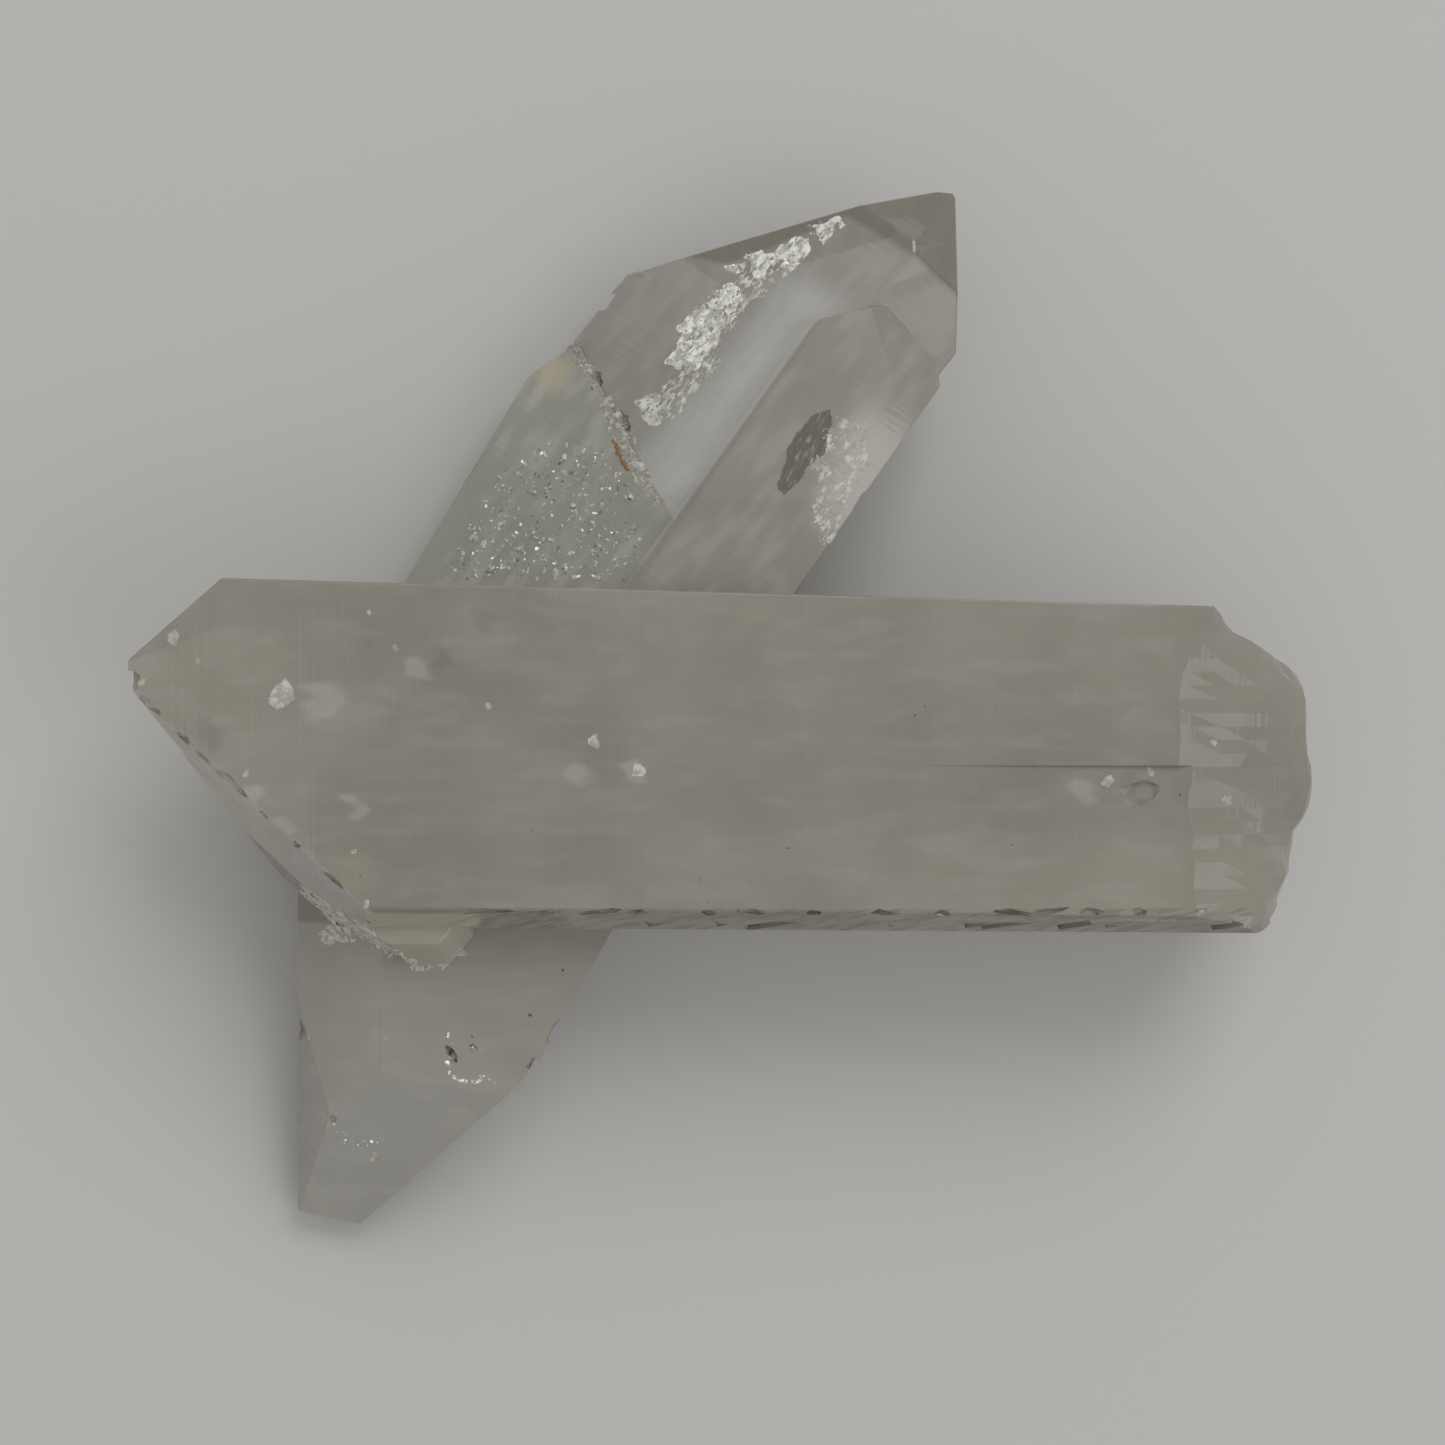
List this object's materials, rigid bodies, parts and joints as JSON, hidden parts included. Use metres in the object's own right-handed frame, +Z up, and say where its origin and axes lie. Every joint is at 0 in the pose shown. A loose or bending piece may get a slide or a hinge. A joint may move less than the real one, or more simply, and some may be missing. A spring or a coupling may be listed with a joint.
{
  "type": "clear quartz crystal cluster",
  "caption": "Natural cluster of quartz points: a long prism with a broken root lies across shorter prisms joined under it; rests on its flat underside.",
  "frame": {"origin": "on the surface that the cluster rests on, under the middle of its footprint", "axes": "+X along the long main crystal, from its point towards its broken root; +Y towards the clear crystals behind it; +Z up from the resting surface"},
  "size_m": [0.0926, 0.0836, 0.0196],
  "materials": {
    "clear_quartz": "see-through grey-brown quartz, slightly milky, flat natural faces with worn edges and one rough broken end"
  },
  "bodies": {
    "root": {"quartz_cluster": "clear_quartz"}
  },
  "joints": []
}
